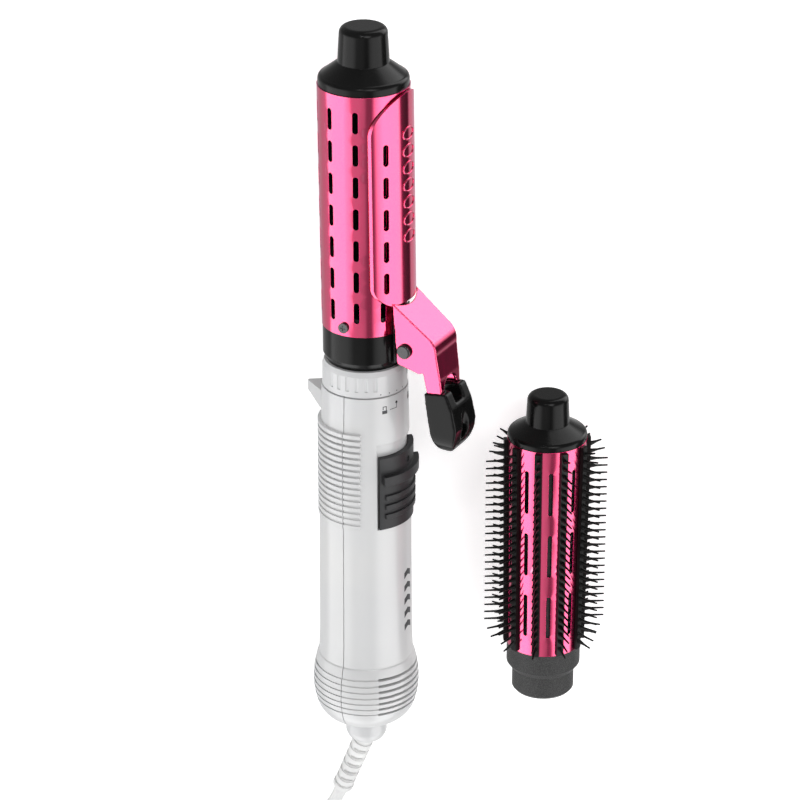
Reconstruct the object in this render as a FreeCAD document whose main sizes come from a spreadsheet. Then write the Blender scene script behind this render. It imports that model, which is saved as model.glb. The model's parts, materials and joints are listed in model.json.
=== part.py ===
"""Hot-air styler set: a corded styler handle with a curling barrel fitted, and a
loose round brush attachment lying beside it.

Both pieces lie on a table at z = 0 with their axes along +Y, tips towards +Y.
Each piece of the styler is drawn about its own axis: local z runs along the axis
towards the tip, with zero at the front end of the handle, and local x points
from the axis to the middle of the clip and the switch. The brush is drawn the
same way about its own axis, with zero where its collar meets its tube and local
x through one column of its slots.
"""
import FreeCAD, Part
import math
import os
import re
import Sketcher

# Driving dimensions: millimetres and degrees. Heights are along an axis.
SIZES = {
    # places on the table
    "brush_gap": 78.9,       # distance between the two axes
    "brush_shift": 124.8,    # brush zero below the handle's front end
    "styler_turn": -28.0,    # turn about the axis that sets the clip up and to +X
    "brush_turn": -86.0,
    # handle shells
    "neck_r": 18.75, "waist_r": 20.1, "grip_r": 20.6, "shell_wall": 2.2,
    "grip_top": -17.0, "grip_low": -61.4, "rib_count": 16, "rib_pitch": 2.88,
    "rib_width": 1.75, "shell_low_r": 20.5, "flare_r": 20.95, "bulb_top": -130.8, "bulb_r": 23.5,
    "bulb_mid": -144.5, "bulb_low": -163.3, "bulb_low_r": 14.0, "seam_half": 0.15,
    "slot_top": -134.6, "slot_pitch": 2.89, "slot_high": 1.25, "slot_count": 7,
    "slot_angle": 95.0, "groove_deep": 0.45, "cup_hole_r": 9.5,
    # rest foot on the back of the handle
    "rest_top": -4.7, "rest_reach": 28.0, "rest_half": 8.5, "rest_thick": 4.5,
    # switch
    "recess_top": -21.8, "recess_low": -62.0, "recess_r": 18.1, "recess_angle": 93.0,
    "slide_top": -27.6, "slide_low": -61.6, "slide_r": 21.0, "slide_angle": 88.0,
    "ridge_r": 23.4, "stem_half": 2.0,
    # lock ring and the socket that takes an attachment
    "ring_low": 0.3, "ring_top": 12.1, "ring_r": 18.4, "ring_top_r": 17.9,
    "ring_bore": 15.7, "socket_r": 15.4, "socket_bore": 13.8, "socket_seat": 1.0,
    "socket_low": -10.0, "seat_bore": 12.2,
    # curling barrel
    "collar_low": 12.4, "collar_r": 18.0, "barrel_low": 28.7, "barrel_top": 136.6,
    "barrel_low_r": 18.3, "barrel_top_r": 19.6, "tube_wall": 0.8, "spigot_r": 13.72,
    "spigot_low": 1.6, "spigot_bore": 11.4,
    "hole_first": 39.8, "hole_pitch": 14.28, "hole_long": 9.5, "hole_wide": 2.45,
    "cap_rim_r": 19.2, "cap_rim_top": 140.2, "cap_cone_top": 146.1, "knob_low_r": 10.9,
    "knob_top_r": 10.2, "knob_top": 161.4,
    # clip and lever
    "clip_r": 20.9, "clip_wall": 0.9, "clip_tilt": 0.85, "clip_half": 16.9,
    "clip_arch": 119.4, "clip_low": 43.5, "pin_x": 24.5, "pin_height": 23.4,
    "pin_r": 1.6, "lever_wall": 1.2, "lever_half": 11.2, "lever_end_half": 8.0,
    "tip_half": 9.9, "tip_round": -12.7,
    # brush
    "brush_low_r": 16.45, "brush_top_r": 17.4, "brush_long": 100.1, "brush_rim_r": 17.3,
    "brush_rim_top": 102.9, "brush_cone_top": 107.3, "brush_knob_low_r": 9.5,
    "brush_knob_top_r": 9.0, "brush_knob_top": 120.4, "brush_collar_low": -12.5,
    "brush_collar_r": 16.3, "brush_spigot_low": -23.4, "bristle_reach": 26.6,
    "bristle_first": 4.3, "bristle_pitch": 3.52, "bristle_count": 27, "brush_lift": 25.95,
    # cord
    "cup_r": 9.2, "cup_low": -176.9, "cord_width": 6.0, "relief_inside": 3.2,
    "relief_long": 38.9, "rib_step": 5.4,
    "coil_r": 33.0, "coil_half": 9.6, "coil_high": 10.4, "tie_wide": 9.0, "tie_thick": 0.9,
    "plug_long": 27.0, "plug_wide": 22.0, "plug_high": 13.0, "blade_long": 17.0,
    "blade_spread": 12.7, "blade_wide": 6.4, "blade_thick": 1.5,
}
ORIGIN_ROLE = {"XY": "XY_Plane", "XZ": "XZ_Plane", "YZ": "YZ_Plane"}

doc = FreeCAD.newDocument("StylerSet")
sheet = doc.addObject("Spreadsheet::Sheet", "Sizes")
for row, (alias, number) in enumerate(SIZES.items(), start=1):
    sheet.set(f"A{row}", alias)
    sheet.set(f"B{row}", str(number))
    sheet.setAlias(f"B{row}", alias)
doc.recompute()
nodes = []


# ---------------------------------------------------------------- helpers

def value(text):
    """The number that an expression over the sheet's aliases gives."""
    result = sheet.evalExpression(str(text))
    return float(getattr(result, "Value", result))


def linked(text):
    """The same expression, readable from another object of the document."""
    return re.sub(r"\b([a-z]+(?:_[a-z]+)+)\b", r"Sizes.\1", str(text))


def bind(item, **properties):
    for name, text in properties.items():
        item.setExpression(name, linked(text))
    return item


def place(item, at=("0", "0", "0"), axis=(0, 0, 1), angle=0.0):
    """Put an item at bound coordinates, turned by an angle about a direction."""
    item.Placement.Rotation = FreeCAD.Rotation(FreeCAD.Vector(*axis), angle)
    for name, text in zip("xyz", at):
        item.setExpression(f"Placement.Base.{name}", linked(text))
    return item


def cylinder(name, radius, height, at=("0", "0", "0"), axis=(0, 0, 1), angle=0.0, sweep="360"):
    item = doc.addObject("Part::Cylinder", name)
    return place(bind(item, Radius=radius, Height=height, Angle=sweep), at, axis, angle)


def cone(name, low_radius, top_radius, height, at=("0", "0", "0"), axis=(0, 0, 1), angle=0.0):
    item = doc.addObject("Part::Cone", name)
    return place(bind(item, Radius1=low_radius, Radius2=top_radius, Height=height), at, axis, angle)


def box(name, sides, at, axis=(0, 0, 1), angle=0.0):
    """A box from its three sides and its lowest corner."""
    item = doc.addObject("Part::Box", name)
    return place(bind(item, Length=sides[0], Width=sides[1], Height=sides[2]), at, axis, angle)


def sector(name, radius, low, top, angle_text, middle=0.0):
    """A pie slice about the axis, its middle at the given angle from local x."""
    start = middle - value(angle_text) / 2
    return cylinder(name, radius, f"({top}) - ({low})", ("0", "0", low), angle=start, sweep=angle_text)


def fuse(name, *items):
    item = doc.addObject("Part::MultiFuse", name)
    item.Shapes = list(items)
    return item


def cut(name, base, *tools):
    item = doc.addObject("Part::Cut", name)
    item.Base = base
    item.Tool = tools[0] if len(tools) == 1 else fuse(name + "_tools", *tools)
    return item


def common(name, first, second):
    item = doc.addObject("Part::Common", name)
    item.Base = first
    item.Tool = second
    return item


def group(name, *items):
    item = doc.addObject("Part::Compound", name)
    item.Links = list(items)
    return item


def feature(name, shape):
    item = doc.addObject("Part::Feature", name)
    item.Shape = shape
    return item


def arc_between(start, end, radius, turn):
    """The short arc from start to end; turn is 1 for a left turn, -1 for a right turn."""
    chord = end - start
    rise = math.sqrt(max(radius ** 2 - chord.Length ** 2 / 4, 0.0))
    side = FreeCAD.Vector(-chord.y, chord.x, 0) * (turn * rise / chord.Length)
    centre = (start + end) * 0.5 + side
    first, last = (start, end) if turn > 0 else (end, start)
    angles = [math.atan2(p.y - centre.y, p.x - centre.x) for p in (first, last)]
    circle = Part.Circle(centre, FreeCAD.Vector(0, 0, 1), radius)
    return Part.ArcOfCircle(circle, angles[0], angles[1]), rise < 0.02 * radius


def add_loop(sketch, corners):
    """Draw a closed outline with every corner bound to the sheet.

    A corner is (x, y), followed by a straight edge, or (x, y, radius, turn),
    followed by an arc.
    """
    points = [FreeCAD.Vector(value(c[0]), value(c[1]), 0) for c in corners]
    edges = []
    for index, corner in enumerate(corners):
        start, end = points[index], points[(index + 1) % len(points)]
        if len(corner) == 2:
            edge = sketch.addGeometry(Part.LineSegment(start, end), False)
            edges.append((edge, 1, 2))
            continue
        arc, half_round = arc_between(start, end, value(corner[2]), corner[3])
        edge = sketch.addGeometry(arc, False)
        edges.append((edge, 1, 2) if corner[3] > 0 else (edge, 2, 1))
        if not half_round:
            size = sketch.addConstraint(Sketcher.Constraint("Radius", edge, value(corner[2])))
            sketch.setExpression(f"Constraints[{size}]", linked(corner[2]))
        else:
            level = abs(end.x - start.x) > abs(end.y - start.y)
            kind, text = ("DistanceY", corner[1]) if level else ("DistanceX", corner[0])
            size = sketch.addConstraint(Sketcher.Constraint(kind, -1, 1, edge, 3, value(text)))
            sketch.setExpression(f"Constraints[{size}]", linked(text))
    for index, (edge, _, end) in enumerate(edges):
        following = edges[(index + 1) % len(edges)]
        sketch.addConstraint(Sketcher.Constraint("Coincident", edge, end, following[0], following[1]))
    for corner, (edge, start, _) in zip(corners, edges):
        for kind, text in (("DistanceX", corner[0]), ("DistanceY", corner[1])):
            size = sketch.addConstraint(Sketcher.Constraint(kind, -1, 1, edge, start, value(text)))
            sketch.setExpression(f"Constraints[{size}]", linked(text))


def sketch_on(body, name, plane, loops):
    sketch = body.newObject("Sketcher::SketchObject", name)
    support = [f for f in body.Origin.OriginFeatures if f.Role == ORIGIN_ROLE[plane]]
    sketch.AttachmentSupport = [(support[0], "")]
    sketch.MapMode = "FlatFace"
    for corners in loops:
        add_loop(sketch, corners)
    return sketch


def turned(name, *loops, angle="360", plane="XZ"):
    """A body turned about local z from outlines of (radius, height) corners."""
    body = doc.addObject("PartDesign::Body", name)
    sketch = sketch_on(body, name + "_profile", plane, loops)
    turn = body.newObject("PartDesign::Revolution", name + "_turn")
    turn.Profile = sketch
    turn.ReferenceAxis = (sketch, ["V_Axis"])
    bind(turn, Angle=angle)
    doc.recompute()
    return body


def prism(name, plane, length, *loops):
    """A body padded both ways from the outlines on one of its origin planes."""
    body = doc.addObject("PartDesign::Body", name)
    sketch = sketch_on(body, name + "_profile", plane, loops)
    pad = body.newObject("PartDesign::Pad", name + "_pad")
    pad.Profile = sketch
    pad.SideType = "Symmetric"
    bind(pad, Length=length)
    doc.recompute()
    return body


def pierce(body, name, plane, length, loops, copies, step):
    """Cut outlines right through a body, then repeat the cut about local z."""
    sketch = sketch_on(body, name + "_profile", plane, loops)
    pocket = body.newObject("PartDesign::Pocket", name)
    pocket.Profile = sketch
    pocket.SideType = "Symmetric"
    bind(pocket, Length=length)
    doc.recompute()
    if copies > 1:
        pattern = body.newObject("PartDesign::PolarPattern", name + "_pattern")
        pattern.Originals = [pocket]
        pattern.Axis = (sketch, ["V_Axis"])
        pattern.Angle = step * (copies - 1)
        pattern.Occurrences = copies
        body.Tip = pattern
        doc.recompute()
    return body


def rounded_slot(middle, height, width, long):
    """An upright slot with half-round ends."""
    half, straight = f"({width}) / 2", f"(({long}) - ({width})) / 2"
    left, right = f"({middle}) - {half}", f"({middle}) + {half}"
    low, top = f"({height}) - {straight}", f"({height}) + {straight}"
    return [(right, low), (right, top, half, 1), (left, top), (left, low, half, 1)]


def ring_loop(inner, outer, low, top):
    return [(inner, low), (outer, low), (outer, top), (inner, top)]


def copies_about(shape, count, step, start=0.0):
    """Copies of a shape at equal turns about local z."""
    turned_shapes = []
    for index in range(count):
        copy = shape.copy()
        copy.rotate(FreeCAD.Vector(0, 0, 0), FreeCAD.Vector(0, 0, 1), start + index * step)
        turned_shapes.append(copy)
    return turned_shapes


def lying(base, turn):
    """The placement of an axis that lies along +Y, turned about itself."""
    down = FreeCAD.Rotation(FreeCAD.Vector(1, 0, 0), -90)
    return FreeCAD.Placement(base, down * FreeCAD.Rotation(FreeCAD.Vector(0, 0, 1), turn))


def settled(shape):
    """A shape whose own placement is fixed into it."""
    return Part.makeCompound([shape])


def publish(item, node, frame):
    """Name a finished piece after its node and put it in its place."""
    if item.TypeId in ("Part::Box", "Part::Cylinder"):
        item = group(item.Name + "_piece", item)
    item.Label = node
    item.Placement = frame
    nodes.append(item)
    return item


# ---------------------------------------------------------------- places

# The origin is under the middle of the set's box, so the axes stand off from it.
LEFT_REACH = value("rest_reach") * math.cos(math.radians(-value("styler_turn")))
RIGHT_REACH = value("brush_gap") + value("bristle_reach")
STYLER_X = -(RIGHT_REACH - LEFT_REACH) / 2
STYLER_Y = -(value("knob_top") + value("cup_low")) / 2
STYLER = lying(FreeCAD.Vector(STYLER_X, STYLER_Y, value("bulb_r")), value("styler_turn"))
BRUSH_X = STYLER_X + value("brush_gap")
BRUSH_Y = STYLER_Y - value("brush_shift")
BRUSH = lying(FreeCAD.Vector(BRUSH_X, BRUSH_Y, value("brush_lift")), value("brush_turn"))


# ---------------------------------------------------------------- handle shells

def handle_outline(inset):
    """The handle's outside, from the bulb's base up to the neck, moved in by inset."""
    return [
        (f"bulb_low_r - {inset}", f"bulb_low + {inset}", "12.5", 1),
        (f"bulb_r - 1.3 - {inset}", "bulb_mid - 9.4", "34.6", 1),
        (f"bulb_r - {inset}", "bulb_mid", "45", 1),
        (f"flare_r + 0.45 - {inset}", "bulb_top"),
        (f"flare_r - {inset}", "bulb_top + 0.6"),
        (f"shell_low_r - {inset}", "bulb_top + 10"),
        (f"waist_r - {inset}", "grip_low - 1"),
        (f"neck_r + 0.4 - {inset}", "grip_top"),
        (f"neck_r - {inset}", "0"),
    ]


def half_shell(name, back):
    """One half of the handle's casing, split on the plane local x = 0."""
    outside = handle_outline("0")
    inside = handle_outline("shell_wall")
    outer = turned(name + "_outer", [("0", "bulb_low")] + outside + [("0", "0")])
    inner = turned(name + "_inner", [("0", "bulb_low + shell_wall")] + inside + [("0", "0")])
    hole = cylinder(name + "_cup_hole", "cup_hole_r", "shell_wall + 4", ("0", "0", "bulb_low - 1"))
    side = -1 if back else 1
    start = f"{side} * seam_half - {1 if back else 0} * 60"
    half_space = box(name + "_half", ("60", "80", "200"), (start, "-40", "-180"))
    ribs = common(name + "_ribs", turned(name + "_rib_rings", *rib_loops()), rib_window(name, back))
    casing = cut(name + "_casing", outer, inner, hole)
    return common(name + "_split", fuse(name + "_ribbed", casing, ribs), half_space)


def rib_loops():
    """Square grip rings; their inner edge is buried in the wall."""
    loops = []
    for index in range(int(value("rib_count"))):
        low = f"grip_low + {index} * rib_pitch"
        loops.append(ring_loop("neck_r - 0.6", "grip_r", low, f"{low} + rib_width"))
    return loops


def rib_window(name, back):
    """The grip wraps the back and stops short of the switch on the front."""
    if back:
        return box(name + "_grip", ("30", "60", "60"), ("-30", "-30", "-70"))
    return box(name + "_grip", ("7.6", "60", "60"), ("0", "-30", "-70"))


def intake_slots(name, middle):
    """Open slots that let air into the bulb, about the middle of one shell."""
    combs = [ring_loop("8", "30", f"slot_top - {k} * slot_pitch - slot_high",
                       f"slot_top - {k} * slot_pitch") for k in range(int(value("slot_count")))]
    rings = turned(name + "_comb", *combs)
    slice_shape = sector(name + "_slice", "31", "bulb_low - 5", "bulb_top + 5", "slot_angle", middle)
    return common(name, rings, slice_shape)


def shallow_grooves(name):
    """Blind grooves that carry the slots' lines round to the seam."""
    combs = [ring_loop("8", "30", f"slot_top - {k} * slot_pitch - 0.9",
                       f"slot_top - {k} * slot_pitch - 0.2") for k in range(int(value("slot_count")))]
    core = turned(name + "_core", [("0", "bulb_low")] + handle_outline("groove_deep") + [("0", "0")])
    return cut(name, turned(name + "_comb", *combs), core)


def front_shell():
    half = half_shell("front_half", back=False)
    recess = cut("recess_block", sector("recess_slice", "30", "recess_low", "recess_top", "recess_angle"),
                 cylinder("recess_floor", "recess_r", "60", ("0", "0", "-70")))
    stem_slot = box("stem_slot", ("12", "2 * stem_half + 1", "22"), ("12", "-stem_half - 0.5", "-52"))
    piece = cut("front_shell_cut", half, recess, stem_slot, intake_slots("front_slots", 0),
                shallow_grooves("front_grooves"))
    return publish(piece, "front_shell", STYLER)


def rest_foot():
    """A gusset on the back of the handle that keeps it from rolling."""
    side = prism("rest_side", "XZ", "2 * rest_half", [
        ("-neck_r + 1.5", "rest_top"), ("-neck_r + 1.5", "rest_top - 8.6"),
        ("-neck_r - 0.2", "rest_top - 8.3"), ("-rest_reach", "rest_top - rest_thick"),
        ("-rest_reach", "rest_top")])
    plan = prism("rest_plan", "XY", "60", [
        ("-neck_r + 2.5", "-rest_half"), ("-neck_r + 2.5", "rest_half"),
        ("-rest_reach", "0.5"), ("-rest_reach", "-0.5")])
    return common("rest_gusset", side, plan)


def rear_shell():
    half = half_shell("rear_half", back=True)
    screw_holes = [cylinder(f"shell_screw_hole_{k}", "1.6", "12", ("-26", "0", height), (0, 1, 0), 90)
                   for k, height in enumerate(("-78", "-118"))]
    body = cut("rear_shell_cut", half, intake_slots("rear_slots", 180), shallow_grooves("rear_grooves"),
               *screw_holes)
    return publish(fuse("rear_shell_piece", body, rest_foot()), "rear_shell", STYLER)


def shell_screws():
    """Two cross-headed screws that draw the shells together from the back."""
    screws = []
    for k, height in enumerate(("-78", "-118")):
        head = cylinder(f"shell_screw_{k}", "1.55", "4.2", ("-20.6", "0", height), (0, 1, 0), 90)
        cross = [box(f"shell_cross_{k}_0", ("0.9", "0.5", "2.0"), ("-20.8", "-0.25", f"{height} - 1.0")),
                 box(f"shell_cross_{k}_1", ("0.9", "2.0", "0.5"), ("-20.8", "-1.0", f"{height} - 0.25"))]
        screws.append(cut(f"shell_screw_cut_{k}", head, *cross))
    return publish(group("shell_screw_pair", *screws), "shell_screws", STYLER)


# ---------------------------------------------------------------- inside the handle

def nozzle_socket():
    """The mouth that takes an attachment's spigot, held by a flange in the shells."""
    piece = turned("socket", [
        ("seat_bore", "socket_low"), ("neck_r - shell_wall - 0.2", "socket_low"),
        ("neck_r - shell_wall - 0.2", "socket_low + 3"), ("socket_r", "socket_low + 3"),
        ("socket_r", "ring_top - 0.3"), ("socket_bore", "ring_top - 0.3"),
        ("socket_bore", "socket_seat"), ("seat_bore", "socket_seat")])
    return publish(piece, "nozzle_socket", STYLER)


def heater():
    """A mica cross wound with resistance wire, inside a thin steel tube."""
    shroud = turned("shroud", ring_loop("11.8", "12.3", "-76", "socket_low - 0.1"))
    publish(shroud, "heater_shroud", STYLER)
    plates = [box("former_plate_x", ("21.4", "0.8", "60"), ("-10.7", "-0.4", "-74")),
              box("former_plate_y", ("0.8", "21.4", "60"), ("-0.4", "-10.7", "-74"))]
    publish(fuse("former", *plates), "heater_former", STYLER)
    helix = Part.makeHelix(6.0, 42.0, 11.2)
    ring = Part.Wire(Part.Circle(FreeCAD.Vector(11.2, 0, 0), FreeCAD.Vector(0, 1, 0.085), 0.35).toShape())
    coil = Part.Wire(helix).makePipeShell([ring], True, True)
    coil.translate(FreeCAD.Vector(0, 0, -66))
    publish(feature("coil", settled(coil)), "heater_coil", STYLER)
    disc = cylinder("thermostat_disc", "3.6", "2.8", ("4.1", "4.1", "-22"))
    publish(disc, "thermostat", STYLER)
    fuse_tube = cylinder("fuse_tube", "1.5", "9", ("-1.9", "-1.9", "-50"))
    publish(fuse_tube, "thermal_fuse", STYLER)


def motor():
    can = cut("motor_case", cylinder("motor_tube", "10.5", "24", ("0", "0", "-124")),
              cylinder("motor_bore", "1.55", "14", ("0", "0", "-113")))
    publish(can, "motor_can", STYLER)
    mount = turned("motor_ring", ring_loop("10.5", "17.6", "-113", "-109"))
    windows = [cylinder(f"mount_window_{k}", "2.5", "8",
                        (f"14.1 * cos({60 * k})", f"14.1 * sin({60 * k})", "-115"))
               for k in range(6)]
    publish(cut("motor_mount_cut", mount, *windows), "motor_mount", STYLER)
    board = cut("board_disc", cylinder("board_blank", "9.5", "1.6", ("0", "0", "-128")),
                box("board_flat", ("20", "6", "4"), ("-10", "6", "-129")))
    diodes = [box(f"diode_{k}", ("4.6", "2.4", "2.2"), (f"{x}", f"{y}", "-130.2"))
              for k, (x, y) in enumerate(((-5.6, -4.4), (1.0, -4.4), (-5.6, 0.6), (1.0, 0.6)))]
    publish(fuse("board", board, *diodes), "rectifier_board", STYLER)


def fan():
    """A drawn-air impeller on the motor's shaft."""
    shaft = cylinder("shaft_rod", "1.5", "24.5", ("0", "0", "-112.5"))
    publish(shaft, "motor_shaft", STYLER)
    hub = cut("fan_hub", cylinder("hub_blank", "5.2", "9", ("0", "0", "-98.5")),
              cylinder("hub_bore", "1.5", "9", ("0", "0", "-98.5")))
    blade = Part.makeBox(8.0, 1.1, 10.5, FreeCAD.Vector(4.6, -0.55, -5.25))
    blade.rotate(FreeCAD.Vector(0, 0, 0), FreeCAD.Vector(1, 0, 0), 38)
    blade.translate(FreeCAD.Vector(0, 0, -94))
    blades = [feature(f"blade_{k}", settled(shape))
              for k, shape in enumerate(copies_about(blade, 7, 360 / 7))]
    publish(fuse("impeller", hub, *blades), "fan_impeller", STYLER)


def intake_filter():
    screen = turned("filter_screen", ring_loop("18.7", "19.3", "-152", "-134"))
    return publish(screen, "intake_filter", STYLER)


def switch_parts():
    case = box("switch_case", ("3.2", "9", "16"), ("12.9", "-4.5", "-53"))
    publish(case, "switch_body", STYLER)
    leads = [cylinder(f"lead_{k}", "0.8", "97", ("14.4", y, "-150")) for k, y in enumerate(("-1.1", "1.1"))]
    publish(group("lead_pair", *leads), "internal_leads", STYLER)


def swivel_bush():
    bush = turned("bush", ring_loop("10.7", "11.7", "bulb_low + shell_wall", "bulb_low + shell_wall + 6"))
    return publish(bush, "swivel_bush", STYLER)


# ---------------------------------------------------------------- switch and lock ring

def switch_slider():
    """A wide thumb slide that wraps the handle, with one tall ridge and three low ones."""
    wrap = cut("slide_wrap", sector("slide_slice", "slide_r", "slide_low", "slide_top", "slide_angle"),
               cylinder("slide_inside", "recess_r + 0.25", "60", ("0", "0", "-70")))
    ridge = cut("ridge_arc", sector("ridge_slice", "ridge_r", "-40.0", "-35.6", "slide_angle - 8"),
                cylinder("ridge_inside", "slide_r - 0.5", "60", ("0", "0", "-70")))
    low_ridges = [cut(f"low_ridge_{k}", sector(f"low_slice_{k}", "slide_r + 0.9", f"{z} - 1.1", f"{z} + 1.1",
                                               "slide_angle - 14"),
                      cylinder(f"low_inside_{k}", "slide_r - 0.5", "60", ("0", "0", "-70")))
                  for k, z in enumerate(("-46.5", "-51.0", "-55.4"))]
    stem = box("slide_stem", ("recess_r + 1.2 - 16.4", "2 * stem_half", "9"), ("16.4", "-stem_half", "-51"))
    dimple = cylinder("slide_dimple", "1.5", "4", ("slide_r - 0.7", "0", "-32"), (0, 1, 0), 90)
    piece = cut("slide_piece", fuse("slide_blank", wrap, ridge, *low_ridges, stem), dimple)
    return publish(piece, "switch_slider", STYLER)


def lock_ring():
    """The ring that turns to lock an attachment, with two groups of finger flutes."""
    ring = turned("ring", [
        ("ring_bore", "ring_low"), ("ring_r - 0.3", "ring_low"), ("ring_r", "ring_low + 0.4"),
        ("ring_r - 0.1", "ring_top - 2.2"), ("ring_top_r - 0.4", "ring_top"), ("ring_bore", "ring_top")])
    flutes = []
    for k, angle in enumerate([a + side for side in (0, 180) for a in (-112, -99, -86, -73, -60, -47)]):
        x, y = f"(ring_r + 0.9) * cos({angle})", f"(ring_r + 0.9) * sin({angle})"
        flutes.append(cylinder(f"flute_{k}", "1.35", "6.6", (x, y, "3.2")))
    notch = box("index_notch", ("3", "0.7", "5"),
                ("ring_r * cos(18) - 0.2", "ring_r * sin(18) - 0.35", "6.4"))
    return publish(cut("lock_ring_piece", ring, *flutes, notch), "lock_ring", STYLER)


# ---------------------------------------------------------------- curling barrel

def barrel_tube():
    """A thin metal tube that narrows a little towards the handle, pierced for hot air."""
    tube = turned("tube", [
        ("barrel_low_r - tube_wall", "barrel_low"), ("barrel_low_r", "barrel_low"),
        ("barrel_top_r", "barrel_top"), ("barrel_top_r - tube_wall", "barrel_top")])
    slots = [rounded_slot("0", f"hole_first + {k} * hole_pitch", "hole_wide", "hole_long") for k in range(7)]
    pierce(tube, "hot_air_slots", "YZ", "60", slots, 5, 36)
    holes = cylinder("barrel_screw_holes", "1.3", "50", ("0", "25", "32.6"), (1, 0, 0), 90)
    return publish(cut("barrel_tube_piece", tube, holes), "barrel_tube", STYLER)


def end_cap(name, node, frame, sizes):
    """A cool end cap: a skirt inside the tube, a rounded rim, a cone and a finger knob."""
    piece = turned(name, [
        (f"{sizes['skirt']} - 1.6", f"{sizes['low']} - 6"), (sizes["skirt"], f"{sizes['low']} - 6"),
        (sizes["skirt"], sizes["low"]), (sizes["rim"], sizes["low"]),
        (sizes["rim"], f"{sizes['rim_top']} - 1.2", "2.2", 1),
        (f"{sizes['rim']} - 1.4", f"{sizes['rim_top']} + 0.7"),
        (sizes["knob_low"], sizes["cone_top"]), (sizes["knob_top_r"], f"{sizes['top']} - 3", "3", 1),
        (f"{sizes['knob_top_r']} - 3", sizes["top"]), ("0", sizes["top"]),
        ("0", f"{sizes['low']} + 1.5"), (f"{sizes['skirt']} - 1.6", f"{sizes['low']} + 1.5")])
    return publish(piece, node, frame)


def barrel_collar():
    """The black collar under the barrel, with the spigot that enters the handle."""
    piece = turned("collar", [
        ("spigot_bore", "spigot_low"), ("spigot_r - 0.6", "spigot_low"), ("spigot_r", "spigot_low + 0.8"),
        ("spigot_r", "collar_low"), ("collar_r - 1.6", "collar_low"), ("collar_r", "collar_low + 3.4"),
        ("collar_r", "barrel_low"), ("barrel_low_r - tube_wall - 0.02", "barrel_low"),
        ("barrel_low_r - tube_wall - 0.02", "barrel_low + 8"), ("spigot_bore + 2.6", "barrel_low + 8"),
        ("spigot_bore", "collar_low + 4")])
    bores = cylinder("collar_screw_holes", "1.25", "50", ("0", "25", "32.6"), (1, 0, 0), 90)
    return publish(cut("collar_piece", piece, bores), "barrel_collar", STYLER)


def barrel_screws():
    """Two black screws, one on each side of the barrel."""
    screws = []
    for k, side in enumerate((-1, 1)):
        seat = "barrel_low_r + 0.1"
        head_start = f"-({seat}) - 1" if side < 0 else seat
        head = cylinder(f"barrel_head_{k}", "2.3", "1", ("0", head_start, "32.6"), (1, 0, 0), -90)
        shank_start = f"-({seat})" if side < 0 else f"{seat} - 3.3"
        shank = cylinder(f"barrel_shank_{k}", "1.2", "3.3", ("0", shank_start, "32.6"), (1, 0, 0), -90)
        face = f"{side} * ({seat} + 1) - 0.3"
        cross = [box(f"barrel_cross_{k}_0", ("2.4", "0.6", "0.5"), ("-1.2", face, "32.35")),
                 box(f"barrel_cross_{k}_1", ("0.5", "0.6", "2.4"), ("-0.25", face, "31.4"))]
        screws.append(cut(f"barrel_screw_cut_{k}", fuse(f"barrel_screw_blank_{k}", head, shank), *cross))
    return publish(group("barrel_screw_pair", *screws), "barrel_screws", STYLER)


def spine(name, node, frame, low, top, half_width):
    """A cross-shaped inner frame that ties the end cap to the collar."""
    across, high = f"2 * {half_width}", f"{top} - ({low})"
    plates = [box(name + "_plate_x", (across, "1.4", high), (f"-({half_width})", "-0.7", low)),
              box(name + "_plate_y", ("1.4", across, high), ("-0.7", f"-({half_width})", low))]
    return publish(fuse(name, *plates), node, frame)


def clip_bracket():
    """A curved foot on the collar with two ears that carry the pivot pin."""
    foot = cut("bracket_foot", sector("bracket_slice", "19.4", "15.5", "39", "42"),
               cone("bracket_inside", "18.35", "18.75", "40", ("0", "0", "5")))
    ears = [common(f"ear_{k}", box(f"ear_plate_{k}", ("12", "1.3", "16"), ("18.6", y, "15.5")),
                   cylinder(f"ear_round_{k}", "8.2", "3", ("19.6", f"{y} + 2", "23.4"), (1, 0, 0), 90))
            for k, y in enumerate(("-5.6", "4.3"))]
    bore = cylinder("bracket_bore", "pin_r", "30", ("pin_x", "15", "pin_height"), (1, 0, 0), 90)
    return publish(cut("bracket", fuse("bracket_blank", foot, *ears), bore), "clip_bracket", STYLER)


def pivot_pin():
    rod = cylinder("pin_rod", "pin_r", "22.2", ("pin_x", "11.1", "pin_height"), (1, 0, 0), 90)
    domed = [("0", "0"), ("3.2", "0"), ("3.2", "0.7", "0.9", 1), ("2.3", "1.5"), ("0", "1.5")]
    heads = [turned(f"pin_head_{k}", domed) for k in range(2)]
    place(heads[0], ("pin_x", "-10.1", "pin_height"), (1, 0, 0), 90)
    place(heads[1], ("pin_x", "10.1", "pin_height"), (1, 0, 0), -90)
    return publish(fuse("pin", rod, *heads), "pivot_pin", STYLER)


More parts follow.
